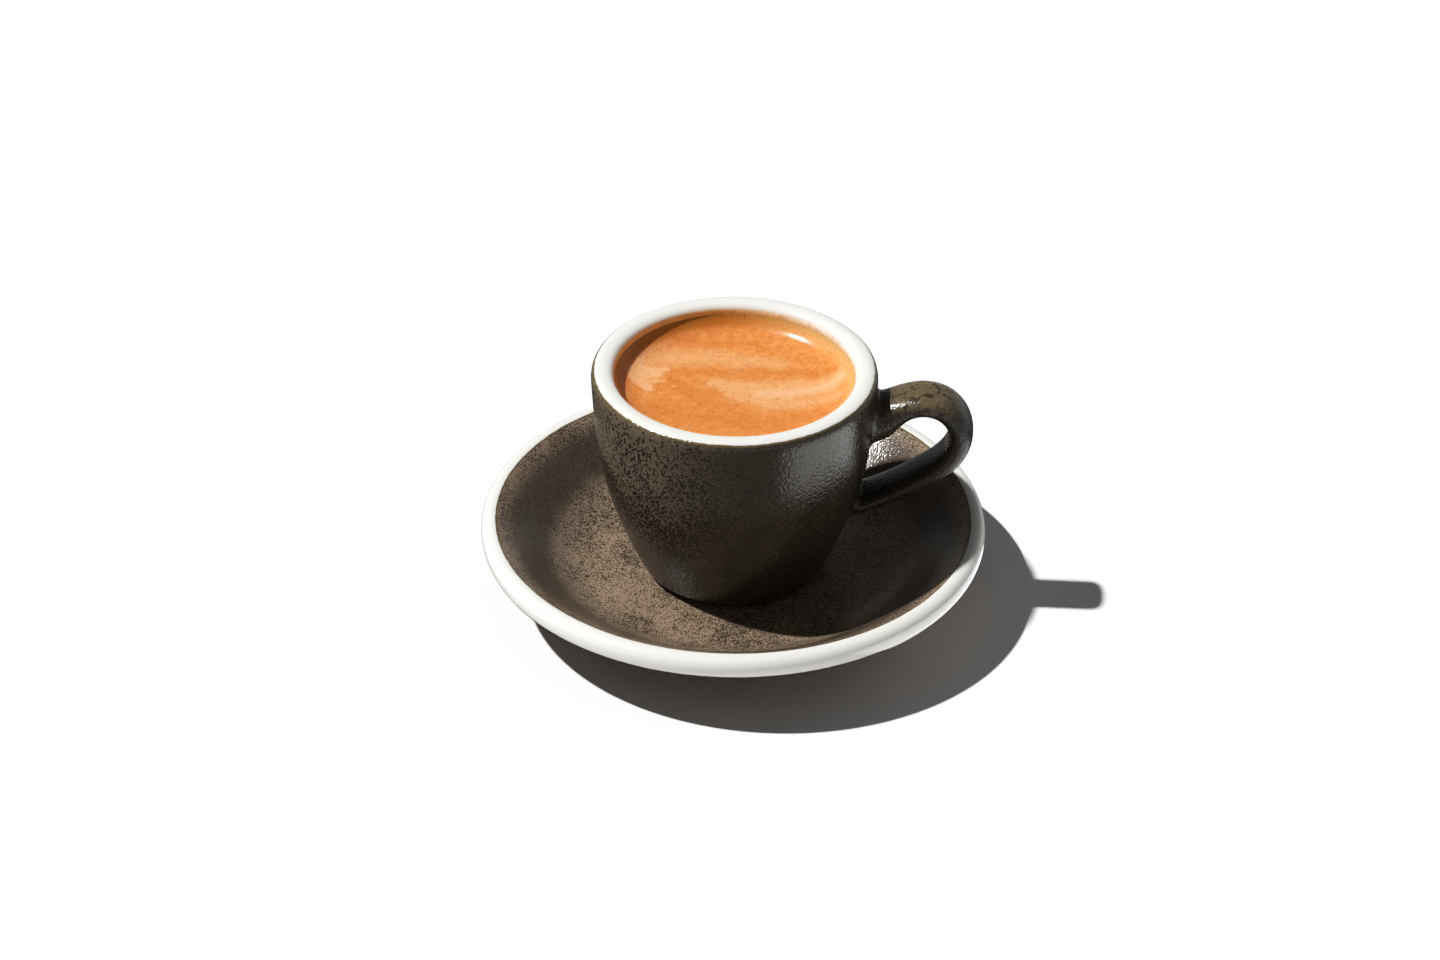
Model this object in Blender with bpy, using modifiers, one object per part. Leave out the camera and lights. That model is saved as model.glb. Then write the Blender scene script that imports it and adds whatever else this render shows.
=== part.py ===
"""An espresso shot in its thick stoneware cup, standing in the matching saucer.

Units are metres and +Z is up. The origin is on the table at the centre of the
saucer's foot ring, the cup stands on the saucer's axis, and the handle points
along +X.
"""

import math

import bmesh
import bpy
from mathutils import Vector

# General dimensions
MM = 0.001
ROUND_STEPS = 64
CLEARANCE = 0.3 * MM
MERGE_DISTANCE = 0.05 * MM
FOOT_EDGE = 0.5 * MM
ARC_DEGREES = 20

# Saucer: a shallow well, a sloping flange and a thick rolled rim
SAUCER_RADIUS = 57.5 * MM
SAUCER_WELL_HEIGHT = 6.2 * MM
SAUCER_WELL_RADIUS = 31.0 * MM
SAUCER_RIM_CENTRE = (54.9 * MM, 16.3 * MM)
SAUCER_RIM_RISE = 2.5 * MM
SAUCER_RIM_DROP = 3.3 * MM
SAUCER_RIM_ROUNDNESS = 2.2
SAUCER_RIM_START = 100
SAUCER_RIM_END = -60
# Upper face of the flange and then the underside as (radius, height above the table) in mm
SAUCER_FLANGE = [(35.5, 6.9), (40.5, 9.2), (45.0, 12.5), (49.5, 15.9), (52.8, 17.9)]
SAUCER_UNDERSIDE = [(52.5, 11.4), (47.0, 8.2), (41.0, 4.9), (36.5, 3.1)]
SAUCER_FOOT_OUTER = 32.0 * MM
SAUCER_FOOT_INNER = 27.5 * MM
SAUCER_FOOT_HEIGHT = 2.0 * MM

# Cup: outside of the wall and then its inside as (radius, height above the foot) in mm
CUP_BASE_HEIGHT = SAUCER_WELL_HEIGHT + CLEARANCE
CUP_LIP_CENTRE = (29.5 * MM, 49.6 * MM)
CUP_LIP_HALF_WIDTH = 2.55 * MM
CUP_LIP_RISE = 2.0 * MM
CUP_OUTSIDE = [(31.95, 47.0), (31.6, 41.5), (30.95, 34.0), (29.6, 26.0), (27.7, 18.5), (25.2, 11.5),
               (22.7, 5.5)]
CUP_BASE_RADIUS = 20.9 * MM
CUP_BASE_EDGE = 1.6 * MM
CUP_FOOT_OUTER = 19.3 * MM
CUP_FOOT_INNER = 15.5 * MM
CUP_FOOT_RECESS = 1.1 * MM
CUP_FLOOR_HEIGHT = 5.5 * MM
CUP_FLOOR_RADIUS = 12.0 * MM
CUP_INSIDE = [(17.3, 7.9), (20.2, 12.5), (22.5, 18.5), (24.3, 26.5), (25.4, 34.5), (26.1, 42.0), (26.5, 47.0)]
LIP_ROUNDNESS = 2.4

# Handle: stations along the strap as (radius, height above the table, half thickness) in mm
HANDLE_STATIONS = [
    (29.4, 46.3, 5.5),
    (32.2, 46.9, 5.0),
    (35.0, 48.7, 3.9),
    (38.4, 50.8, 3.0),
    (42.4, 51.8, 2.75),
    (46.6, 50.8, 2.8),
    (49.6, 47.9, 2.8),
    (50.9, 44.0, 2.8),
    (49.9, 39.7, 2.75),
    (46.8, 35.6, 2.6),
    (42.0, 32.1, 2.4),
    (37.4, 29.2, 2.2),
    (32.8, 26.7, 2.1),
    (26.9, 24.0, 2.1),
]
HANDLE_HALF_WIDTH = 5.75 * MM
HANDLE_ROUNDNESS = 2.5
HANDLE_SECTION_POINTS = 16
HANDLE_SPAN_STEPS = 2

# Drink: the crema is flat in the middle and climbs the wall in a meniscus
CREMA_LEVEL = 52.0 * MM
MENISCUS_RISE = 3.0 * MM
MENISCUS_REACH = 1.4 * MM
MENISCUS_STEPS = [0.0, 0.35, 0.8, 1.4, 2.4, 4.0]


def clear_scene():
    """Remove every object, so that the script can run in an open session."""
    for old in list(bpy.data.objects):
        bpy.data.objects.remove(old, do_unlink=True)


def new_collection(name):
    collection = bpy.data.collections.new(name)
    bpy.context.scene.collection.children.link(collection)
    return collection


def new_material(name, colour, roughness):
    material = bpy.data.materials.new(name)
    material.use_nodes = True
    shader = material.node_tree.nodes["Principled BSDF"]
    shader.inputs["Base Color"].default_value = (*colour, 1.0)
    shader.inputs["Roughness"].default_value = roughness
    shader.inputs["Metallic"].default_value = 0.0
    material.diffuse_color = (*colour, 1.0)
    return material


def in_metres(stations):
    return [tuple(value * MM for value in station) for station in stations]


def smooth_through(stations, steps):
    """Catmull-Rom curve through the stations, with the given steps a span."""
    points = [Vector(station) for station in stations]
    before = 2 * points[0] - points[1]
    after = 2 * points[-1] - points[-2]
    chain = [before] + points + [after]
    curve = []
    for p0, p1, p2, p3 in zip(chain, chain[1:], chain[2:], chain[3:]):
        for step in range(steps):
            t = step / steps
            bend = (2 * p0 - 5 * p1 + 4 * p2 - p3) * t * t
            twist = (3 * p1 - p0 - 3 * p2 + p3) * t * t * t
            curve.append((2 * p1 + (p2 - p0) * t + bend + twist) / 2)
    curve.append(points[-1])
    return curve


def superellipse(angle, half_width, half_height, exponent):
    """Point of a rounded box outline, seen from its centre at the angle."""
    across = math.cos(angle)
    up = math.sin(angle)
    x = math.copysign(abs(across) ** (2 / exponent), across) * half_width
    y = math.copysign(abs(up) ** (2 / exponent), up) * half_height
    return x, y


def saucer_profile():
    """Half section from the well's centre out over the rim and back below."""
    centre_r, centre_z = SAUCER_RIM_CENTRE
    half_width = SAUCER_RADIUS - centre_r
    profile = [(0.0, SAUCER_WELL_HEIGHT), (SAUCER_WELL_RADIUS, SAUCER_WELL_HEIGHT)]
    profile += in_metres(SAUCER_FLANGE)
    for degrees in range(SAUCER_RIM_START, SAUCER_RIM_END - 1, -ARC_DEGREES):
        rise = SAUCER_RIM_RISE if degrees > 0 else SAUCER_RIM_DROP
        x, y = superellipse(math.radians(degrees), half_width, rise, SAUCER_RIM_ROUNDNESS)
        profile.append((centre_r + x, centre_z + y))
    profile += in_metres(SAUCER_UNDERSIDE)
    profile += [
        (SAUCER_FOOT_OUTER + FOOT_EDGE, SAUCER_FOOT_HEIGHT),
        (SAUCER_FOOT_OUTER, FOOT_EDGE),
        (SAUCER_FOOT_OUTER - FOOT_EDGE, 0.0),
        (SAUCER_FOOT_INNER + FOOT_EDGE, 0.0),
        (SAUCER_FOOT_INNER, FOOT_EDGE),
        (SAUCER_FOOT_INNER - FOOT_EDGE, SAUCER_FOOT_HEIGHT),
        (0.0, SAUCER_FOOT_HEIGHT),
    ]
    return profile


def cup_inside():
    """Inner wall from the floor's edge up to where the lip begins."""
    floor = (CUP_FLOOR_RADIUS, CUP_FLOOR_HEIGHT)
    return [floor] + in_metres(CUP_INSIDE)


def cup_profile():
    """Half section of the cup above its foot, from the floor out and down."""
    lip_r, lip_z = CUP_LIP_CENTRE
    profile = [(0.0, CUP_FLOOR_HEIGHT)] + cup_inside()
    for degrees in range(180, -1, -ARC_DEGREES):
        x, y = superellipse(math.radians(degrees), CUP_LIP_HALF_WIDTH, CUP_LIP_RISE, LIP_ROUNDNESS)
        profile.append((lip_r + x, lip_z + y))
    profile += in_metres(CUP_OUTSIDE)
    profile += [
        (CUP_BASE_RADIUS, CUP_BASE_EDGE),
        (CUP_FOOT_OUTER + FOOT_EDGE, FOOT_EDGE),
        (CUP_FOOT_OUTER - FOOT_EDGE, 0.0),
        (CUP_FOOT_INNER + FOOT_EDGE, 0.0),
        (CUP_FOOT_INNER - FOOT_EDGE, CUP_FOOT_RECESS),
        (0.0, CUP_FOOT_RECESS),
    ]
    return profile


def espresso_profile():
    """The drink fills the cup up to the crema, clear of the wall."""
    level = CREMA_LEVEL - CUP_BASE_HEIGHT
    wall = [(r - CLEARANCE, z + CLEARANCE) for r, z in cup_inside()]
    edge_height = level + MENISCUS_RISE
    below = [point for point in wall if point[1] < edge_height]
    lower = below[-1]
    lip_start = (CUP_LIP_CENTRE[0] - CUP_LIP_HALF_WIDTH - CLEARANCE, CUP_LIP_CENTRE[1])
    share = (edge_height - lower[1]) / (lip_start[1] - lower[1])
    edge_radius = lower[0] + share * (lip_start[0] - lower[0])
    profile = [(0.0, level)]
    for step in reversed(MENISCUS_STEPS):
        radius = edge_radius - step * MENISCUS_REACH
        profile.append((radius, level + MENISCUS_RISE * math.exp(-step)))
    profile += reversed(below)
    profile.append((0.0, CUP_FLOOR_HEIGHT + CLEARANCE))
    return profile


def turned(name, profile, height, material, collection):
    """Turn a half section about Z into a solid that stands at the height."""
    vertices = [(radius, 0.0, level) for radius, level in profile]
    edges = [(index, index + 1) for index in range(len(vertices) - 1)]
    mesh = bpy.data.meshes.new(name)
    mesh.from_pydata(vertices, edges, [])
    mesh.materials.append(material)
    solid = bpy.data.objects.new(name, mesh)
    solid.location.z = height
    collection.objects.link(solid)
    screw = solid.modifiers.new("Turn", "SCREW")
    screw.axis = "Z"
    screw.angle = math.tau
    screw.steps = ROUND_STEPS
    screw.render_steps = ROUND_STEPS
    screw.use_merge_vertices = True
    screw.merge_threshold = MERGE_DISTANCE
    screw.use_smooth_shade = True
    return solid


def handle_strap(name, material, collection):
    """Loft the strap: a rounded section that thins as it leaves the wall."""
    path = smooth_through(in_metres(HANDLE_STATIONS), HANDLE_SPAN_STEPS)
    mesh_data = bmesh.new()
    rings = []
    for index, station in enumerate(path):
        behind = path[max(index - 1, 0)]
        ahead = path[min(index + 1, len(path) - 1)]
        along = Vector((ahead.x - behind.x, 0.0, ahead.y - behind.y)).normalized()
        outward = Vector((-along.z, 0.0, along.x))
        centre = Vector((station.x, 0.0, station.y))
        ring = []
        for corner in range(HANDLE_SECTION_POINTS):
            angle = math.tau * corner / HANDLE_SECTION_POINTS
            y, thick = superellipse(angle, HANDLE_HALF_WIDTH, station.z, HANDLE_ROUNDNESS)
            ring.append(mesh_data.verts.new(centre + outward * thick + Vector((0.0, y, 0.0))))
        rings.append(ring)
    for ring, following in zip(rings, rings[1:]):
        for corner in range(HANDLE_SECTION_POINTS):
            beside = (corner + 1) % HANDLE_SECTION_POINTS
            mesh_data.faces.new((ring[corner], ring[beside], following[beside], following[corner]))
    mesh_data.faces.new(rings[0])
    mesh_data.faces.new(rings[-1])
    bmesh.ops.recalc_face_normals(mesh_data, faces=mesh_data.faces)
    mesh = bpy.data.meshes.new(name)
    mesh_data.to_mesh(mesh)
    mesh_data.free()
    mesh.materials.append(material)
    mesh.shade_smooth()
    strap = bpy.data.objects.new(name, mesh)
    collection.objects.link(strap)
    strap.hide_render = True
    strap.display_type = "WIRE"
    return strap


def fuse(body, tool):
    """Join the tool's solid to the body as one closed solid."""
    union = body.modifiers.new("Fuse " + tool.name, "BOOLEAN")
    union.operation = "UNION"
    union.solver = "EXACT"
    union.object = tool


def main():
    clear_scene()
    shot = new_collection("Espresso shot")
    tools = new_collection("Tools")
    brown_glaze = new_material("Speckled brown glaze", (0.085, 0.066, 0.048), 0.42)
    dark_glaze = new_material("Dark brown glaze", (0.032, 0.026, 0.020), 0.38)
    crema = new_material("Crema", (0.80, 0.33, 0.11), 0.45)
    turned("saucer", saucer_profile(), 0.0, brown_glaze, shot)
    cup = turned("cup", cup_profile(), CUP_BASE_HEIGHT, dark_glaze, shot)
    strap = handle_strap("handle strap", dark_glaze, tools)
    fuse(cup, strap)
    turned("espresso", espresso_profile(), CUP_BASE_HEIGHT, crema, shot)


main()
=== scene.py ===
# %% [markdown]
# # A double espresso in its stoneware cup and saucer
# The real thing is a small thick-walled cup, glazed dark and speckled outside and white over
# the lip, that stands in the well of a matching saucer. It is filled nearly to the lip with
# espresso under an orange crema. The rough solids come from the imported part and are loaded
# as a fixed frame: each finer piece made below takes the place of one of them.

# %% Load the frame
import math

import bpy
import numpy as np
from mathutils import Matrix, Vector, noise


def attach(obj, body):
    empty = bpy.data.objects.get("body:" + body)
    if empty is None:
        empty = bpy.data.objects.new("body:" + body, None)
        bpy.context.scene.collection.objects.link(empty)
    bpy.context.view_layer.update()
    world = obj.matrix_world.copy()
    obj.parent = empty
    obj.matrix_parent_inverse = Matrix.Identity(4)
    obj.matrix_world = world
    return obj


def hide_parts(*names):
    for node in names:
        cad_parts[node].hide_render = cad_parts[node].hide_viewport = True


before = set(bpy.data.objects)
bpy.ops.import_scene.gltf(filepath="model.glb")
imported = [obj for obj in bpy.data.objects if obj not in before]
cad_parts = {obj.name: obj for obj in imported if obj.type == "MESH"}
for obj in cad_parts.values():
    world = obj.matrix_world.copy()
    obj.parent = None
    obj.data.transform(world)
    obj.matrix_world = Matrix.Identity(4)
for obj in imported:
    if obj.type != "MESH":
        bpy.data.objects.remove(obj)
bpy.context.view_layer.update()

MM = 0.001
print("solids of the frame:", sorted(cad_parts))

# %% [markdown]
# ## Two small helpers
# Blender's operators act on everything that is selected, and loading the frame leaves its
# solids selected. So every new piece starts from an empty selection. Colours are chosen as
# sRGB hex values, the way a colour picker shows them, and Blender's shaders want them linear.


# %% Selection and colours
def start_clean():
    """Leave edit mode and select nothing."""
    if bpy.context.mode != "OBJECT":
        bpy.ops.object.mode_set(mode="OBJECT")
    bpy.ops.object.select_all(action="DESELECT")


def only(piece):
    """Make the piece the one selected and active object."""
    start_clean()
    piece.select_set(True)
    bpy.context.view_layer.objects.active = piece


def linear(hex_colour):
    """sRGB hex to the linear colour that a shader socket takes."""
    values = [int(hex_colour[i:i + 2], 16) / 255 for i in (1, 3, 5)]
    return [v / 12.92 if v <= 0.04045 else ((v + 0.055) / 1.055) ** 2.4 for v in values] + [1.0]


# %% [markdown]
# ## The camera
# The photograph was taken with a long lens from in front and above, looking down at about
# 33 degrees. The place and the three angles below were fitted to the circles of the lip and
# of the saucer's rim, so the pieces fall on the photograph without any shift.

# %% Camera
camera_data = bpy.data.cameras.new("Camera")
camera_data.lens = 100
camera_data.sensor_width = 36
camera = bpy.data.objects.new("Camera", camera_data)
camera.location = (0.04009, -0.75580, 0.52856)
camera.rotation_euler = [math.radians(angle) for angle in (56.519, -0.407, 3.539)]
bpy.context.scene.collection.objects.link(camera)
bpy.context.scene.camera = camera

# %% [markdown]
# ## Floor and light
# The cup stands on a plain white table in one strong light from the left and above, which
# draws a crisp shadow to the right. A sun lamp gives that. The room adds the weak even
# light that keeps the shadow from going black.

# %% Table and light
FLOOR_SIZE = 12.0
LIGHT_FROM = Vector((-0.562, -0.005, 0.827))

start_clean()
bpy.ops.mesh.primitive_plane_add(size=FLOOR_SIZE)
floor = bpy.context.active_object
floor.name = "Floor"

sun_data = bpy.data.lights.new("Sun", "SUN")
sun_data.energy = 3.75
sun_data.angle = math.radians(1.6)
sun = bpy.data.objects.new("Sun", sun_data)
sun.rotation_euler = LIGHT_FROM.to_track_quat("Z", "Y").to_euler()
bpy.context.scene.collection.objects.link(sun)

# %% [markdown]
# ## A way to write materials down
# A material is a set of nodes, and most of them differ only in their settings and in what
# feeds them. One function adds a node: its settings are written as names, its sockets as a
# dictionary of values or of outputs of earlier nodes, which it links. A pattern's scale is
# worked out from the real size of one grain, because the pieces are in metres.


# %% Nodes
def new_material(name):
    """A material with no nodes yet."""
    material = bpy.data.materials.new(name)
    material.use_nodes = True
    material.node_tree.nodes.clear()
    return material


def add(material, kind, sockets=(), **settings):
    """Add a node and return its outputs: sockets maps an input to a value or an output."""
    node = material.node_tree.nodes.new("ShaderNode" + kind)
    for name, value in settings.items():
        setattr(node, name, value)
    for name, value in dict(sockets).items():
        if isinstance(value, bpy.types.NodeSocket):
            material.node_tree.links.new(value, node.inputs[name])
        else:
            node.inputs[name].default_value = value
    return node.outputs


def grain(size_mm):
    """Noise scale whose grains have the given size in millimetres."""
    return 1 / (size_mm * MM)


# A Mix node of colours has its two colours on sockets 6 and 7 and gives output 2.
MIX_A, MIX_B, MIX_OUT = 6, 7, 2

# %% [markdown]
# ## The room
# The studio is dim overhead and paler towards its walls, which a gradient over the height of
# the direction gives. Below the table's level it is dim again, and its left side is darker
# than its right. The photograph's mid tones are contrasty: shadows are deep and the lights
# are bright. A curve in the colour management does the same to the render.

# %% Room and tones
world = bpy.data.worlds.new("Soft room")
world.use_nodes = True
world.node_tree.nodes.clear()
direction = add(world, "TexCoord")["Generated"]
height = add(world, "SeparateXYZ", {0: direction})["Z"]
brightness = add(world, "MapRange", {
    "Value": height, "From Min": 0.0, "From Max": 0.35, "To Min": 0.8, "To Max": 0.16,
}, interpolation_type="SMOOTHSTEP")[0]
below = add(world, "MapRange", {
    "Value": height, "From Min": -0.4, "From Max": -0.1, "To Min": 0.15, "To Max": 1.0,
}, interpolation_type="SMOOTHSTEP")[0]
brightness = add(world, "Math", {0: brightness, 1: below}, operation="MULTIPLY")[0]
side = add(world, "SeparateXYZ", {0: direction})["X"]
side = add(world, "MapRange", {"Value": side, "From Min": -1.0, "To Min": 0.3, "To Max": 1.35})[0]
brightness = add(world, "Math", {0: brightness, 1: side}, operation="MULTIPLY")[0]
light = add(world, "Background", {"Strength": brightness})
add(world, "OutputWorld", {"Surface": light[0]})
bpy.context.scene.world = world

tones = bpy.context.scene.view_settings
tones.view_transform = "Standard"
tones.use_curve_mapping = True
contrast = tones.curve_mapping.curves[3]
for shadow, tone in ((0.13, 0.10), (0.28, 0.255), (0.45, 0.455), (0.7, 0.715)):
    contrast.points.new(shadow, tone)
tones.curve_mapping.update()

# %% [markdown]
# ## The floor
# A plain matt white board, which stays out of mirror rays: in the photograph the glossy glaze
# mirrors dim surroundings, and something bright only low on the right. A small soft lamp
# that lies there, facing up, gives that gleam. Both belong to the studio.

# %% Floor: matt white lacquered board
floor_paint = new_material("White lacquered board")
board = add(floor_paint, "BsdfPrincipled", {"Base Color": linear("#F9F9F9"), "Roughness": 0.6})
add(floor_paint, "OutputMaterial", {"Surface": board[0]})
floor.data.materials.append(floor_paint)
floor.visible_glossy = False

GLEAM_AT = (0.095, -0.03, 0.002)
GLEAM_SIZE = 0.11
GLEAM_RADIANCE = 2.2

gleam_data = bpy.data.lights.new("Gleam", "AREA")
gleam_data.shape = "DISK"
gleam_data.size = GLEAM_SIZE
gleam_data.energy = GLEAM_RADIANCE * math.pi * math.pi * GLEAM_SIZE ** 2 / 4
gleam = bpy.data.objects.new("Gleam", gleam_data)
gleam.location = GLEAM_AT
gleam.rotation_euler = (math.pi, 0.0, 0.0)
gleam.visible_camera = False
gleam.visible_diffuse = False
bpy.context.scene.collection.objects.link(gleam)

# %% [markdown]
# ## Turned shapes
# Cup, saucer and drink are round, because the real ones are turned on a wheel. So each is
# half a section, drawn point by point by extruding a single vertex, and spun round the axis.
# The section's main points are few, as on the frame's solids, and a smooth curve through
# them gives the rest. The curve takes the distances between the points into account, so it
# doesn't swing out where a long span meets a short one, as at the lip.


# %% Curves through points
def smooth_line(points, spacing):
    """Smooth curve through (r, z) points in mm, as points no further apart than the spacing."""
    points = np.array(points, float)
    gaps = np.linalg.norm(np.diff(points, axis=0), axis=1)
    slopes = np.diff(points, axis=0) / gaps[:, None]
    before, after = gaps[:-1, None], gaps[1:, None]
    middle = (slopes[:-1] * after + slopes[1:] * before) / (before + after)
    tangents = np.vstack([slopes[:1], middle, slopes[-1:]])
    curve = []
    for start, end, gap, leave, arrive in zip(points, points[1:], gaps, tangents, tangents[1:]):
        for t in np.arange(0, 1, 1 / max(1, math.ceil(gap / spacing))):
            curve.append(
                (1 + 2 * t) * (1 - t) ** 2 * start + t * (1 - t) ** 2 * gap * leave
                + t * t * (3 - 2 * t) * end + t * t * (t - 1) * gap * arrive)
    return [tuple(point) for point in curve] + [tuple(points[-1])]


def rounded(centre, half_width, rise, drop, roundness, first, last, step):
    """Points of a rounded edge in mm from the first angle to the last, in degrees."""
    points = []
    for degrees in np.arange(first, last + step / 2, step):
        across, up = math.cos(math.radians(degrees)), math.sin(math.radians(degrees))
        height = rise if up > 0 else drop
        r = math.copysign(abs(across) ** (2 / roundness), across) * half_width
        z = math.copysign(abs(up) ** (2 / roundness), up) * height
        points.append((centre[0] + r, centre[1] + z))
    return points


# %% Turning a section
TURN_STEPS = 160


def turned(name, section, steps=TURN_STEPS):
    """Draw the half section (r, z) in mm by extruding a vertex, and spin it round Z."""
    start_clean()
    bpy.ops.mesh.primitive_plane_add(size=MM)
    piece = bpy.context.active_object
    piece.name = piece.data.name = name
    bpy.ops.object.mode_set(mode="EDIT")
    bpy.ops.mesh.merge(type="CENTER")
    at = (0.0, 0.0)
    for index, (r, z) in enumerate(section):
        move = ((r - at[0]) * MM, 0.0, (z - at[1]) * MM)
        if index == 0:
            bpy.ops.transform.translate(value=move)
        else:
            bpy.ops.mesh.extrude_region_move(TRANSFORM_OT_translate={"value": move})
        at = (r, z)
    bpy.ops.mesh.select_all(action="SELECT")
    bpy.ops.mesh.spin(steps=steps, angle=math.tau, center=(0, 0, 0), axis=(0, 0, 1))
    bpy.ops.mesh.select_all(action="SELECT")
    bpy.ops.mesh.remove_doubles(threshold=0.002 * MM)
    bpy.ops.mesh.normals_make_consistent(inside=False)
    bpy.ops.object.mode_set(mode="OBJECT")
    print(name, len(piece.data.vertices), "vertices")
    return piece


# %% [markdown]
# ## The saucer
# A shallow well that the cup stands in, a sloping flange and a thick rolled rim, on a foot
# ring. The rim is a rounded box in section, a little flatter than a circle.

# %% Saucer
WELL_HEIGHT = 6.2
saucer_rim = rounded((54.9, 16.3), 2.6, 2.5, 3.3, 2.2, 100, -60, -8)
saucer_flange = [(31.0, 6.2), (35.5, 6.9), (40.5, 9.2), (45.0, 12.5), (49.5, 15.9), (52.8, 17.9)]
saucer_under = [(52.5, 11.4), (47.0, 8.2), (41.0, 4.9), (36.5, 3.1), (32.9, 2.2)]
foot_ring = [(32.2, 1.4), (32.0, 0.5), (31.5, 0.0), (28.0, 0.0), (27.5, 0.5), (27.2, 1.4), (26.6, 2.0)]
section = [(0.0, WELL_HEIGHT), (8.0, WELL_HEIGHT), (16.0, WELL_HEIGHT), (24.0, WELL_HEIGHT)]
section += smooth_line(saucer_flange + saucer_rim + saucer_under, 1.0)
section += foot_ring + [(14.0, 2.0), (0.0, 2.0)]
saucer = turned("Saucer", section)
bpy.ops.object.shade_smooth_by_angle(angle=math.radians(35))
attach(saucer, "root")
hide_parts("saucer")

# %% [markdown]
# ## The cup
# A thick wall that curves in towards a small foot, and a fat rounded lip. The body is turned
# first. The handle is a strap, made from a ring that is extruded from station to station,
# and then joined to the wall.

# %% Body of the cup
CUP_FOOT = 6.5
LIP_CENTRE = (29.5, 49.6)
cup_inside = [(12.0, 5.5), (17.3, 7.9), (20.2, 12.5), (22.5, 18.5), (24.3, 26.5), (25.4, 34.5),
              (26.1, 42.0), (26.5, 47.0)]
cup_lip = rounded(LIP_CENTRE, 2.55, 2.0, 2.0, 2.4, 180, 0, -9)
cup_outside = [(31.95, 47.0), (31.6, 41.5), (30.95, 34.0), (29.6, 26.0), (27.7, 18.5),
               (25.2, 11.5), (22.7, 5.5), (20.9, 1.6)]
cup_foot = [(19.8, 0.5), (18.8, 0.0), (16.0, 0.0), (15.0, 1.1), (0.0, 1.1)]


def raised(points, height):
    """The same (r, z) points, higher by the height."""
    return [(r, z + height) for r, z in points]


wall = smooth_line(cup_inside + cup_lip + cup_outside, 0.9)
cup_section = raised([(0.0, 5.5), (6.0, 5.5)] + wall + cup_foot, CUP_FOOT)
cup = turned("Cup", cup_section)

# %% [markdown]
# ## The handle
# The strap leaves the wall wide and deep just under the lip, rises a little, turns down in a
# round bow and runs back into the wall lower down. Its section is a rounded box of constant
# width whose thickness changes. So a ring of that outline is extruded along the strap: at
# each station it is moved, turned about its own centre and made thicker or thinner.

# %% Strap of the handle
STRAP = [
    (29.4, 46.3, 5.5), (32.2, 46.9, 5.0), (35.0, 48.7, 3.9), (38.4, 50.8, 3.0),
    (42.4, 51.8, 2.75), (46.6, 50.8, 2.8), (49.6, 47.9, 2.8), (50.9, 44.0, 2.8),
    (49.9, 39.7, 2.75), (46.8, 35.6, 2.6), (42.0, 32.1, 2.4), (37.4, 29.2, 2.2),
    (32.8, 26.7, 2.1), (26.9, 24.0, 2.1),
]
STRAP_HALF_WIDTH = 5.75
STRAP_ROUNDNESS = 2.6
RING_POINTS = 40
STRAP_SPACING = 0.9

start_clean()
bpy.ops.mesh.primitive_circle_add(vertices=RING_POINTS, radius=MM, fill_type="NGON")
strap = bpy.context.active_object
strap.name = "Handle strap"
for vertex in strap.data.vertices:
    across, up = vertex.co.x / MM, vertex.co.y / MM
    y = math.copysign(abs(across) ** (2 / STRAP_ROUNDNESS), across) * STRAP_HALF_WIDTH
    z = math.copysign(abs(up) ** (2 / STRAP_ROUNDNESS), up)
    vertex.co = (0.0, y * MM, z * MM)

path = np.array(smooth_line(STRAP, STRAP_SPACING))
ahead = np.vstack([path[1:], path[-1:]])
behind = np.vstack([path[:1], path[:-1]])
slopes = np.arctan2(ahead[:, 1] - behind[:, 1], ahead[:, 0] - behind[:, 0])
slopes = np.unwrap(slopes)


def turn_and_scale(centre, angle, thickness):
    """Turn the selected ring in the plane of the handle, and scale it along its height."""
    bpy.ops.transform.resize(value=(1, 1, thickness), center_override=centre)
    bpy.ops.transform.rotate(value=angle, orient_axis="Y", center_override=centre)


bpy.ops.object.mode_set(mode="EDIT")
bpy.ops.mesh.select_all(action="SELECT")
centre = Vector((0.0, 0.0, 0.0))
angle = 0.0
thickness = 1.0
for index, ((r, z, half), slope) in enumerate(zip(path, slopes)):
    if index:
        bpy.ops.mesh.extrude_region()
        bpy.ops.transform.rotate(value=-angle, orient_axis="Y", center_override=centre)
    target = Vector((r * MM, 0.0, z * MM))
    bpy.ops.transform.translate(value=target - centre)
    turn_and_scale(target, slope, half / thickness)
    centre, angle, thickness = target, slope, half
bpy.ops.mesh.select_all(action="SELECT")
bpy.ops.mesh.normals_make_consistent(inside=False)
bpy.ops.object.mode_set(mode="OBJECT")
low = np.array([v.co for v in strap.data.vertices]).min(axis=0)
high = np.array([v.co for v in strap.data.vertices]).max(axis=0)
print("strap from", low, "to", high)

# %% [markdown]
# ## Joining strap and cup
# On the real cup the strap was pressed onto the wall and the joint smoothed with a wet
# finger, so it flows into the wall. A Boolean joins the two solids, a fine voxel remesh
# makes one even skin of them, and smoothing rounds the joint. That would also soften the
# turned wall, so away from the joint the skin is drawn back onto a very fine turned copy of
# the body, which is deleted afterwards.

# %% Join
VOXEL = 0.56 * MM
BLEND_ROUNDS = 14
JOINT_REACH = 8.0
JOINT_FADE = 3.0
WALL_RADIUS = 33.5

only(cup)
union = cup.modifiers.new("Join", "BOOLEAN")
union.operation = "UNION"
union.solver = "EXACT"
union.object = strap
bpy.ops.object.modifier_apply(modifier=union.name)
skin = cup.modifiers.new("Skin", "REMESH")
skin.mode = "VOXEL"
skin.voxel_size = VOXEL
bpy.ops.object.modifier_apply(modifier=skin.name)
soften = cup.modifiers.new("Soften", "SMOOTH")
soften.factor = 0.5
soften.iterations = BLEND_ROUNDS
bpy.ops.object.modifier_apply(modifier=soften.name)

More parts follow.
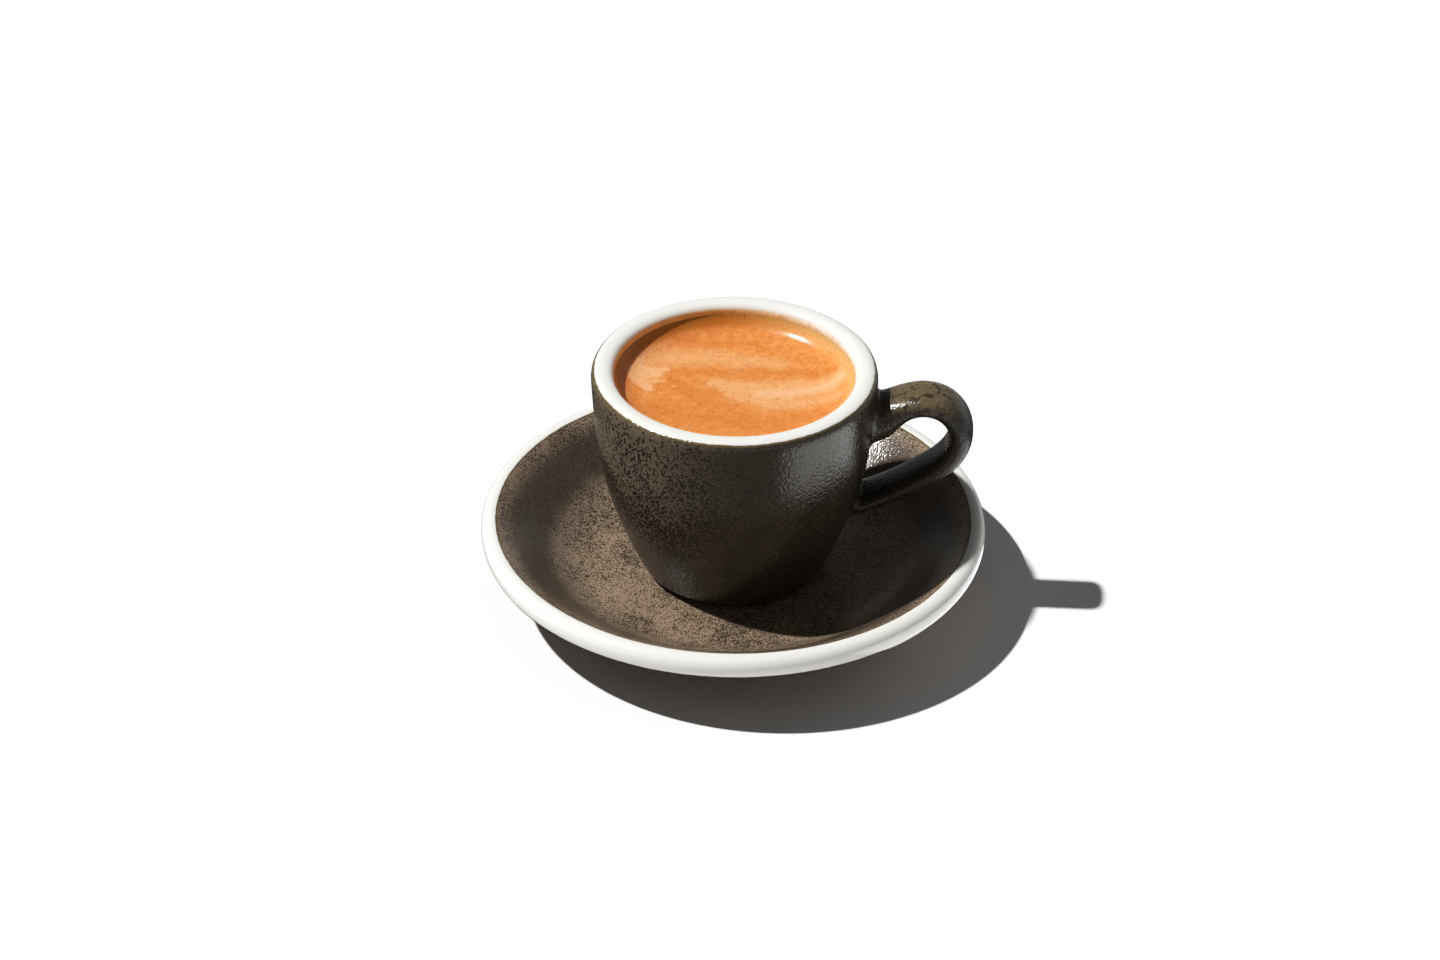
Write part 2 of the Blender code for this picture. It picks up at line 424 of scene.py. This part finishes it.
places = np.zeros(len(cup.data.vertices) * 3)
cup.data.vertices.foreach_get("co", places)
places = places.reshape(-1, 3) / MM
radial = np.hypot(places[:, 0], places[:, 1])
reach = np.full(len(places), np.inf)
for r, z in path[:, :2]:
    across = np.maximum(np.abs(places[:, 1]) - STRAP_HALF_WIDTH, 0)
    reach = np.minimum(reach, np.sqrt((places[:, 0] - r) ** 2 + (places[:, 2] - z) ** 2 + across ** 2))
held = cup.vertex_groups.new(name="Wall")
weights = np.clip((reach - JOINT_REACH) / JOINT_FADE, 0, 1)
weights[radial > WALL_RADIUS] = 0
for level in range(1, 11):
    chosen = np.nonzero(np.round(weights * 10) == level)[0]
    held.add([int(i) for i in chosen], level / 10, "REPLACE")

body = turned("Fine body", cup_section, steps=3 * TURN_STEPS)
only(cup)
draw_back = cup.modifiers.new("Draw back", "SHRINKWRAP")
draw_back.target = body
draw_back.wrap_method = "NEAREST_SURFACEPOINT"
draw_back.vertex_group = "Wall"
bpy.ops.object.modifier_apply(modifier=draw_back.name)
cup.vertex_groups.clear()
bpy.data.objects.remove(body)
bpy.data.objects.remove(strap)
only(cup)
bpy.ops.object.shade_smooth()
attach(cup, "root")
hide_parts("cup")
cup.data.calc_loop_triangles()
print("cup", len(cup.data.loop_triangles), "triangles")

# %% [markdown]
# ## The espresso
# The drink fills the cup, and all that shows is its crema: flat in the middle, and drawn up
# the wall in a meniscus. It is turned like the rest and reaches just into the wall, so no
# gap shows. Its top has fine rings, because the swirls are painted on its vertices.

# %% Drink
INTO_WALL = 0.05
CREMA_LEVEL = 51.8
MENISCUS_RISE = 4.0
MENISCUS_REACH = 2.2
CREMA_RADIUS = 26.95
SIDE_TOP = 55.3
RING_SPACING = 0.3
CREMA_STEPS = 400

inner_wall = smooth_line(cup_inside, 2.0)
side = [(r + INTO_WALL, z + CUP_FOOT) for r, z in inner_wall if z + CUP_FOOT < SIDE_TOP]
top = []
for r in np.arange(CREMA_RADIUS, 0, -RING_SPACING):
    top.append((r, CREMA_LEVEL + MENISCUS_RISE * math.exp((r - CREMA_RADIUS) / MENISCUS_REACH)))
section = [(0.0, CREMA_LEVEL)] + top[::-1] + side[::-1] + [(0.0, side[0][1])]
espresso = turned("Espresso", section, steps=CREMA_STEPS)
bpy.ops.object.shade_smooth_by_angle(angle=math.radians(50))
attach(espresso, "root")
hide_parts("espresso")

# %% [markdown]
# ## Swirls in the crema
# The crema is not one colour. Pale foam came up last and was drawn into two bands with
# ragged ends, and darker orange lies between and below them. Each band is a few brush
# strokes: a path with a width at each point, soft at its edge. The strokes are bent by slow
# noise, so that their edges wander and finger as foam does. Blender starts this noise at a
# new place each time, so it is given a seed. What the strokes give is stored on the vertices
# for the material to read.

# %% Brush strokes
skin_points = np.zeros(len(espresso.data.vertices) * 3)
espresso.data.vertices.foreach_get("co", skin_points)
skin_points = skin_points.reshape(-1, 3) / MM


def wander(points, size, level):
    """Slow noise from -1 to 1 in two directions, with swirls of about the size in mm."""
    found = [noise.noise_vector(Vector((x / size, y / size, level))) for x, y in points]
    return np.array(found)[:, :2]


def stroke(points, path, softness=0.5):
    """1 along the path of (x, y, half width) in mm, falling to 0 over the soft edge."""
    cover = np.zeros(len(points))
    for (x0, y0, w0), (x1, y1, w1) in zip(path, path[1:]):
        along = np.array([x1 - x0, y1 - y0])
        t = np.clip(((points - (x0, y0)) @ along) / (along @ along), 0, 1)
        nearest = np.array([x0, y0]) + t[:, None] * along
        width = w0 + (w1 - w0) * t
        distance = np.linalg.norm(points - nearest, axis=1) / width
        edge = np.clip((1 - distance) / softness, 0, 1)
        cover = np.maximum(cover, edge * edge * (3 - 2 * edge))
    return cover


# Size of the swirls and how far they bend a stroke, both in mm, and the level of noise used
SWIRLS = [(7.0, 1.1, 3.0), (2.0, 0.6, 8.0), (0.8, 0.25, 5.0)]
SWIRL_SEED = 139

noise.seed_set(SWIRL_SEED)
flat = skin_points[:, :2]
drifted = flat
for size, bend, level in SWIRLS:
    drifted = drifted + bend * wander(flat, size, level)
pale = np.zeros(len(flat))
PALE_STROKES = [
    ([(-24, 12, 8.0), (-15, 13.0, 7.0), (-6, 13.5, 6.2), (2, 13.0, 5.4), (10, 12.0, 3.0)], 1.0, 0.36),
    ([(-24, 12, 4.5), (-22.5, 6.5, 4.6), (-22, 3.5, 3.4)], 0.6, 0.6),
    ([(-19.8, 7.2, 2.4), (-16.2, 7.7, 1.4)], 0.6, 0.6),
    ([(-20, 5.0, 1.8), (-17.0, 5.6, 0.8)], 0.6, 0.6),
    ([(-19.8, 2.8, 1.6), (-16.2, 3.0, 0.8)], 0.7, 0.5),
    ([(-21, 1.6, 2.4), (-19.4, -0.5, 1.7)], 0.6, 0.6),
    ([(-14.0, 0.8, 0.7), (-13.4, 0.7, 0.7)], 0.8, 0.4),
    ([(27, 8.5, 3.4), (22, 4.6, 4.0), (18, 1.8, 4.4), (13, 0.0, 4.8), (6, -0.5, 4.8)], 1.0, 0.72),
    ([(26, 6.5, 2.5), (16, 3.0, 5.6), (8, 1.0, 6.6), (2, 1.0, 5.6), (-5, 3.0, 3.0)], 0.8, 0.4),
    ([(23, 0, 3.0), (16, -4, 4.0), (8, -4.0, 4.5), (0, -1.5, 4.0)], 1.0, 0.4),
]
for path, softness, strength in PALE_STROKES:
    pale = np.maximum(pale, strength * stroke(drifted, path, softness))

DARK_STROKES = [
    ([(-14, 7.0, 1.6), (-7, 7.6, 2.2), (3, 9.2, 2.4), (12, 8.8, 2.4), (22, 8.6, 1.6)], 1.0, 0.42),
    ([(-16, 16.5, 1.6), (-10, 19.5, 1.8), (-2, 20.5, 1.8), (5, 20.3, 1.8)], 1.0, 0.4),
    ([(5, 20.6, 1.2), (5.2, 19.5, 1.2)], 0.9, 0.5),
    ([(-14, 2, 3.0), (-10, -2, 4.5), (-4, -6, 4.5)], 1.0, 0.5),
    ([(-18, -9, 7.0), (-6, -12, 8.0), (8, -13, 6.0), (19, -9, 3.0)], 1.0, 0.45),
]
dark = np.zeros(len(flat))
for path, softness, strength in DARK_STROKES:
    dark = np.maximum(dark, strength * stroke(drifted, path, softness))
dark *= 1 - pale

for name, values in (("pale", pale), ("dark", dark)):
    layer = espresso.data.attributes.new(name, "FLOAT", "POINT")
    layer.data.foreach_set("value", values.astype(np.float32))
print("pale foam covers", round(float(pale.mean()), 2), "of the vertices")

# %% [markdown]
# ## The material of the crema
# Crema is a foam of very fine bubbles in oily coffee: matt from far, with a soft gloss.
# The colours are what the photograph shows of it in full light, a little lower, because the
# light is stronger than one. Where it climbs the wall it is darker brown on the left, away from
# the light, as painted shade, and paler on the lit right. Fine dark specks are bits of coffee and broken
# bubbles.

# %% Crema
crema = new_material("Espresso crema")
place = add(crema, "TexCoord")["Object"]
pale_share = add(crema, "Attribute", attribute_name="pale")["Fac"]
dark_share = add(crema, "Attribute", attribute_name="dark")["Fac"]
mottle = add(crema, "TexNoise", {"Vector": place, "Scale": grain(1.5), "Detail": 4.0})["Fac"]
mottle = add(crema, "MapRange", {"Value": mottle, "From Min": 0.35, "From Max": 0.62})[0]
colour = add(crema, "Mix", {0: mottle, MIX_A: linear("#EAA164"), MIX_B: linear("#E09150")},
             data_type="RGBA")[MIX_OUT]
colour = add(crema, "Mix", {0: dark_share, MIX_A: colour, MIX_B: linear("#D98743")},
             data_type="RGBA")[MIX_OUT]
colour = add(crema, "Mix", {0: pale_share, MIX_A: colour, MIX_B: linear("#F9CAA2")},
             data_type="RGBA")[MIX_OUT]
specks = add(crema, "TexNoise", {"Vector": place, "Scale": grain(0.42), "Detail": 1.0})["Fac"]
specks = add(crema, "MapRange", {"Value": specks, "From Min": 0.63, "From Max": 0.73, "To Max": 0.58})[0]
sides = add(crema, "SeparateXYZ", {0: place})
# Painted shade and light: where the crema climbs the wall it is darker brown on the left, away from the
# light, and paler on the lit right.
painted_light_across = add(crema, "MapRange", {"Value": sides["X"], "From Min": -4 * MM, "From Max": 18 * MM})[0]
wall_foam_painted_shading = add(crema, "Mix", {0: painted_light_across, MIX_A: linear("#CA8636"), MIX_B: linear("#F4B078")},
                data_type="RGBA")[MIX_OUT]
at_wall = add(crema, "MapRange", {
    "Value": sides["Z"], "From Min": 52.9 * MM, "From Max": 54.4 * MM,
}, interpolation_type="SMOOTHSTEP")[0]
colour = add(crema, "Mix", {0: at_wall, MIX_A: colour, MIX_B: wall_foam_painted_shading},
             data_type="RGBA")[MIX_OUT]
colour = add(crema, "Mix", {0: specks, MIX_A: colour, MIX_B: linear("#8E4A1C")},
             data_type="RGBA")[MIX_OUT]
bubbles = add(crema, "Bump", {"Height": specks, "Strength": 0.5, "Distance": -0.05 * MM})[0]
shader = add(crema, "BsdfPrincipled", {
    "Base Color": colour, "Roughness": 0.23, "IOR": 1.38, "Normal": bubbles,
    "Subsurface Weight": 0.5, "Subsurface Radius": (1.0, 0.4, 0.18), "Subsurface Scale": 2.0 * MM,
})
add(crema, "OutputMaterial", {"Surface": shader[0]})
espresso.data.materials.append(crema)

# %% [markdown]
# ## The glazes
# Both pieces are stoneware with a glossy reactive glaze: a beige glaze full of iron, which
# boils out in the kiln into a net of dark brown specks. On the open faces the beige shows
# between the specks, and on the wall of the cup the dark brown nearly closes over it. A
# white glaze covers the lip and the saucer's rim, and where the two glazes meet they mix
# into a thin olive line. The specks are noise cut at a threshold. A slower noise makes them
# denser in some places than in others. The glaze is slightly pebbled like orange peel, which
# a low bump gives: it breaks up the reflections.


# %% What both glazes share
WHITE_GLAZE = linear("#F0EFEA")
OLIVE_SEAM = linear("#6F6040")


def glaze_parts(material, **grains):
    """Radius, height and side in mm, and one noise for each named grain size, as outputs."""
    place = add(material, "TexCoord")["Object"]
    in_mm = add(material, "VectorMath", {0: place, "Scale": 1 / MM}, operation="SCALE")[0]
    x, y, z = add(material, "SeparateXYZ", {0: in_mm})
    level = add(material, "CombineXYZ", {"X": x, "Y": y})[0]
    parts = {"x": x, "y": y, "z": z}
    parts["r"] = add(material, "VectorMath", {0: level}, operation="LENGTH")["Value"]
    for name, (size, detail) in grains.items():
        sockets = {"Vector": place, "Scale": grain(size), "Detail": detail}
        parts[name] = add(material, "TexNoise", sockets)["Fac"]
    return parts


def speck_net(material, parts, bias, low, high):
    """1 on the dark specks: fine noise over a threshold that slower noises move."""
    drift = add(material, "Math", {0: parts["spots"], 1: 0.24, 2: bias}, operation="MULTIPLY_ADD")[0]
    drift = add(material, "Math", {0: parts["slow"], 1: 0.3, 2: drift}, operation="MULTIPLY_ADD")[0]
    total = add(material, "Math", {0: parts["fine"], 1: drift}, operation="ADD")[0]
    return add(material, "MapRange", {"Value": total, "From Min": low, "From Max": high},
               interpolation_type="SMOOTHSTEP")[0]


def glaze_over(material, parts, ground, above):
    """White glaze where above (mm over the seam) is positive, an olive seam, then the ground."""
    wobble = add(material, "Math", {0: parts["ragged"], 1: 0.3, 2: -0.15}, operation="MULTIPLY_ADD")[0]
    above = add(material, "Math", {0: above, 1: wobble}, operation="ADD")[0]
    seam = add(material, "MapRange", {"Value": above, "From Min": -0.5, "From Max": -0.2})[0]
    white = add(material, "MapRange", {"Value": above, "From Min": -0.06, "From Max": 0.1})[0]
    colour = add(material, "Mix", {0: seam, MIX_A: ground, MIX_B: OLIVE_SEAM},
                 data_type="RGBA")[MIX_OUT]
    colour = add(material, "Mix", {0: white, MIX_A: colour, MIX_B: WHITE_GLAZE},
                 data_type="RGBA")[MIX_OUT]
    return colour, white


def finish_glaze(material, parts, colour, white, peel_depth, roughness, dull=0.0):
    """Glossy glaze over the colour, pebbled like orange peel where it isn't white."""
    depth = add(material, "MapRange", {"Value": white, "To Min": peel_depth * MM, "To Max": 0.008 * MM})[0]
    peel = add(material, "Bump", {"Height": parts["pebbles"], "Strength": 1.0, "Distance": depth})[0]
    gloss = add(material, "Math", {0: dull, 1: 0.08, 2: roughness}, operation="MULTIPLY_ADD")[0]
    gloss = add(material, "MapRange", {"Value": white, "To Min": gloss, "To Max": 0.14})[0]
    shader = add(material, "BsdfPrincipled", {
        "Base Color": colour, "Roughness": gloss, "IOR": 1.5, "Normal": peel,
    })
    add(material, "OutputMaterial", {"Surface": shader[0]})


# %% Glaze of the saucer: beige and brown, white over the rim
saucer_glaze = new_material("Speckled brown stoneware glaze")
parts = glaze_parts(saucer_glaze, fine=(0.34, 1.0), spots=(1.4, 1.0), slow=(9.0, 2.0),
                    ragged=(1.8, 3.0), pebbles=(0.5, 0.5))
net = speck_net(saucer_glaze, parts, 0.0, 0.735, 0.875)
ground = add(saucer_glaze, "Mix", {0: net, MIX_A: linear("#A18F7B"), MIX_B: linear("#43362B")},
             data_type="RGBA")[MIX_OUT]
# Painted shade: the flange is darkened all round in a ring about 46.5 mm from the axis, where its slope
# turns away from the light.
flange_painted_shade = add(saucer_glaze, "Math", {0: parts["r"], 1: 46.5}, operation="SUBTRACT")[0]
flange_painted_shade = add(saucer_glaze, "Math", {0: flange_painted_shade}, operation="ABSOLUTE")[0]
flange_painted_shade = add(saucer_glaze, "MapRange", {
    "Value": flange_painted_shade, "From Min": 2.0, "From Max": 7.5, "To Min": 0.8, "To Max": 0.0,
}, interpolation_type="SMOOTHSTEP")[0]
ground = add(saucer_glaze, "Mix", {0: flange_painted_shade, MIX_A: ground, MIX_B: linear("#4B4036")},
             data_type="RGBA")[MIX_OUT]
under = add(saucer_glaze, "MapRange", {"Value": parts["z"], "From Min": 15.0, "From Max": 14.4})[0]
outer = add(saucer_glaze, "MapRange", {"Value": parts["r"], "From Min": 54.0, "From Max": 55.0})[0]
under = add(saucer_glaze, "Math", {0: under, 1: outer}, operation="MULTIPLY")[0]
ground = add(saucer_glaze, "Mix", {0: under, MIX_A: ground, MIX_B: linear("#3A3024")},
             data_type="RGBA")[MIX_OUT]
from_inside = add(saucer_glaze, "Math", {0: parts["r"], 1: 54.2}, operation="SUBTRACT")[0]
from_below = add(saucer_glaze, "Math", {0: parts["z"], 1: 14.6}, operation="SUBTRACT")[0]
over_rim = add(saucer_glaze, "Math", {0: from_inside, 1: from_below}, operation="MINIMUM")[0]
colour, white = glaze_over(saucer_glaze, parts, ground, over_rim)
finish_glaze(saucer_glaze, parts, colour, white, 0.06, 0.22)
saucer.data.materials.append(saucer_glaze)

# %% Glaze of the cup: darker, white over the lip, with a film of crema inside
cup_glaze = new_material("Dark speckled stoneware glaze")
parts = glaze_parts(cup_glaze, fine=(0.55, 1.5), spots=(1.7, 1.0), slow=(9.0, 2.0),
                    ragged=(1.8, 3.0), pebbles=(0.62, 0.5))
high_up = add(cup_glaze, "MapRange", {
    "Value": parts["z"], "From Min": 18.0, "From Max": 58.0, "To Min": 0.14, "To Max": -0.05,
})[0]
net = speck_net(cup_glaze, parts, high_up, 0.76, 0.85)
# Painted light: the wall's glaze is made lighter, with stronger specks, towards the left where the light
# falls, and darker with fainter specks towards the right.
painted_light_left = add(cup_glaze, "MapRange", {
    "Value": parts["x"], "From Min": 8.0, "From Max": -20.0, "To Min": 0.5, "To Max": 1.0,
}, interpolation_type="SMOOTHSTEP")[0]
net = add(cup_glaze, "Math", {0: net, 1: painted_light_left}, operation="MULTIPLY")[0]
open_glaze_painted_light = add(cup_glaze, "MapRange", {"Value": painted_light_left, "From Min": 0.5})[0]
open_glaze_painted_light = add(cup_glaze, "Mix", {
    0: open_glaze_painted_light, MIX_A: linear("#453D31"), MIX_B: linear("#6D6150"),
}, data_type="RGBA")[MIX_OUT]
ground = add(cup_glaze, "Mix", {0: net, MIX_A: open_glaze_painted_light, MIX_B: linear("#1F1812")},
             data_type="RGBA")[MIX_OUT]
on_handle = add(cup_glaze, "MapRange", {"Value": parts["r"], "From Min": 33.0, "From Max": 36.0})[0]
beige = add(cup_glaze, "Mix", {0: net, MIX_A: linear("#756850"), MIX_B: linear("#3C3225")},
            data_type="RGBA")[MIX_OUT]
brown = add(cup_glaze, "Mix", {0: net, MIX_A: linear("#3D362C"), MIX_B: linear("#1C1610")},
            data_type="RGBA")[MIX_OUT]
on_top = add(cup_glaze, "MapRange", {"Value": parts["z"], "From Min": 49.5, "From Max": 53.5})[0]
beige = add(cup_glaze, "Mix", {0: on_top, MIX_A: brown, MIX_B: beige}, data_type="RGBA")[MIX_OUT]
blots = add(cup_glaze, "MapRange", {
    "Value": parts["spots"], "From Min": 0.58, "From Max": 0.64, "To Max": 0.8,
})[0]
beige = add(cup_glaze, "Mix", {0: blots, MIX_A: beige, MIX_B: linear("#392A1C")},
            data_type="RGBA")[MIX_OUT]
ground = add(cup_glaze, "Mix", {0: on_handle, MIX_A: ground, MIX_B: beige},
             data_type="RGBA")[MIX_OUT]
outside = add(cup_glaze, "MapRange", {"Value": parts["r"], "From Min": 28.6, "From Max": 29.4})[0]
lower = add(cup_glaze, "MapRange", {"Value": parts["z"], "From Min": 50.0, "From Max": 49.0})[0]
outside = add(cup_glaze, "Math", {0: outside, 1: lower}, operation="MAXIMUM")[0]
inside_border = add(cup_glaze, "MapRange", {
    "Value": parts["y"], "From Min": -20.0, "From Max": 5.0, "To Min": 55.4, "To Max": 57.0,
})[0]
border = add(cup_glaze, "MapRange", {"Value": outside, "To Min": inside_border, "To Max": 57.65})[0]
above = add(cup_glaze, "Math", {0: parts["z"], 1: border}, operation="SUBTRACT")[0]
shoulder, white = glaze_over(cup_glaze, parts, ground, above)
# Painted light and shade: the top edge of the crema film is amber on the left, away from the light, and
# nearly white on the lit right.
painted_light_across = add(cup_glaze, "MapRange", {"Value": parts["x"], "From Min": -6.0, "From Max": 20.0})[0]
film_top_painted_light = add(cup_glaze, "Mix", {0: painted_light_across, MIX_A: linear("#EBC27A"), MIX_B: linear("#FBF6EC")},
               data_type="RGBA")[MIX_OUT]
film = add(cup_glaze, "MapRange", {"Value": above, "From Min": -1.9, "From Max": -0.4})[0]
film = add(cup_glaze, "Mix", {0: film, MIX_A: linear("#E6A94E"), MIX_B: film_top_painted_light},
           data_type="RGBA")[MIX_OUT]
stains = add(cup_glaze, "MapRange", {
    "Value": parts["ragged"], "From Min": 0.5, "From Max": 0.75, "To Max": 0.45,
})[0]
film = add(cup_glaze, "Mix", {0: stains, MIX_A: film, MIX_B: linear("#B57B3C")},
           data_type="RGBA")[MIX_OUT]
clean = add(cup_glaze, "MapRange", {"Value": above, "From Min": -0.3, "From Max": 0.3})[0]
inner = add(cup_glaze, "Mix", {0: clean, MIX_A: film, MIX_B: WHITE_GLAZE},
            data_type="RGBA")[MIX_OUT]
colour = add(cup_glaze, "Mix", {0: outside, MIX_A: inner, MIX_B: shoulder},
             data_type="RGBA")[MIX_OUT]
finish_glaze(cup_glaze, parts, colour, white, 0.12, 0.22, on_handle)
cup.data.materials.append(cup_glaze)

# %% The end
start_clean()
